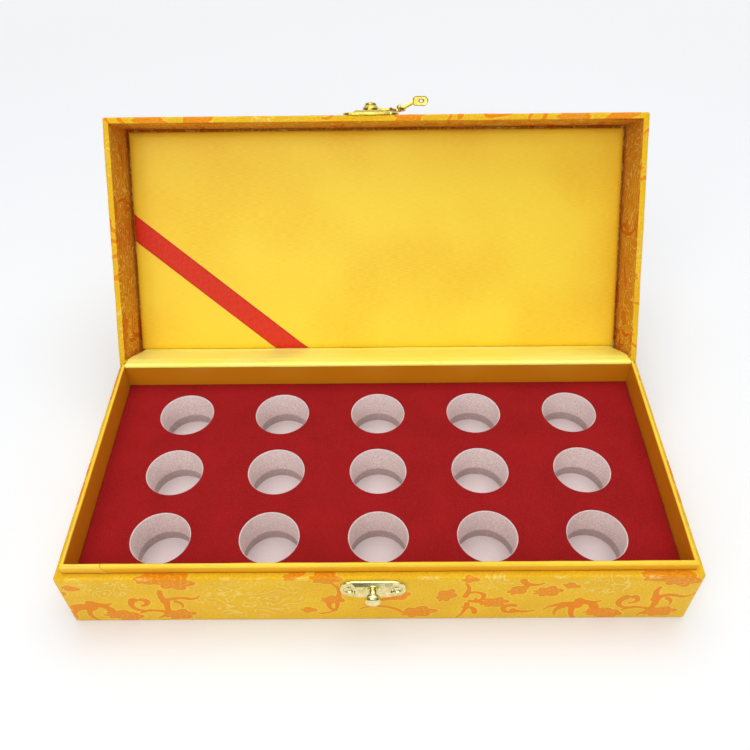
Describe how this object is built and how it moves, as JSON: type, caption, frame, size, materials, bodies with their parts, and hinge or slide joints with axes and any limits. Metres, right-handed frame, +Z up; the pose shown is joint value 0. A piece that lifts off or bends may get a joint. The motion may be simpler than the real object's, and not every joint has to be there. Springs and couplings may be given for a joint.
{
  "type": "presentation box",
  "caption": "Brocade-covered presentation box with a hinged lid, a satin-lined neck, a punched foam insert with round pockets and a brass swing clasp.",
  "frame": {"origin": "centre of the tray's underside, on the surface it stands on", "axes": "+X to the viewer's right along the box, +Y from the clasp towards the hinge, +Z up"},
  "size_m": [0.29, 0.2496, 0.1543],
  "materials": {
    "brocade": "golden-yellow silk brocade with orange scrolls and pale metallic thread",
    "satin": "smooth yellow satin",
    "greyboard": "grey paperboard",
    "paper": "matt off-white paper",
    "foam": "pale closed-cell foam with a sparkling cut face",
    "flock": "deep red flock",
    "ribbon": "red satin ribbon",
    "brass": "polished pale brass"
  },
  "bodies": {
    "tray": {"base_paper": "paper", "tray_floor_board": "greyboard", "tray_front_board": "greyboard", "tray_back_board": "greyboard", "tray_left_board": "greyboard", "tray_right_board": "greyboard", "tray_brocade": "brocade", "neck_front_board": "greyboard", "neck_back_board": "greyboard", "neck_left_board": "greyboard", "neck_right_board": "greyboard", "neck_satin": "satin", "pocket_floor_pad": "foam", "foam_block": "foam", "flocked_sheet": "flock", "keeper_plate": "brass", "keeper_nails": "brass", "keeper_knob": "brass", "hinge_cloth": "brocade", "satin_hinge_liner": "satin"},
    "lid": {"lid_top_board": "greyboard", "lid_front_board": "greyboard", "lid_back_board": "greyboard", "lid_left_board": "greyboard", "lid_right_board": "greyboard", "lid_brocade": "brocade", "lid_lining": "brocade", "panel_card": "greyboard", "panel_foam": "foam", "panel_satin": "satin", "corner_ribbon": "ribbon", "hasp_plate": "brass", "hasp_nails": "brass", "pivot_rivet": "brass"},
    "hook": {"swing_hook": "brass"}
  },
  "joints": [
    {"name": "lid_hinge", "type": "hinge", "parent": "tray", "child": "lid", "pos_m": [0, 0.067, 0.0383], "axis": [1, 0, 0], "range_deg": [0, 124.5], "deforming": ["hinge_cloth", "satin_hinge_liner"]},
    {"name": "hook_pivot", "type": "hinge", "parent": "lid", "child": "hook", "pos_m": [-0.0025, 0.14842, 0.14494], "axis": [0, -0.5664, -0.8241], "range_deg": [-90, 90]}
  ]
}
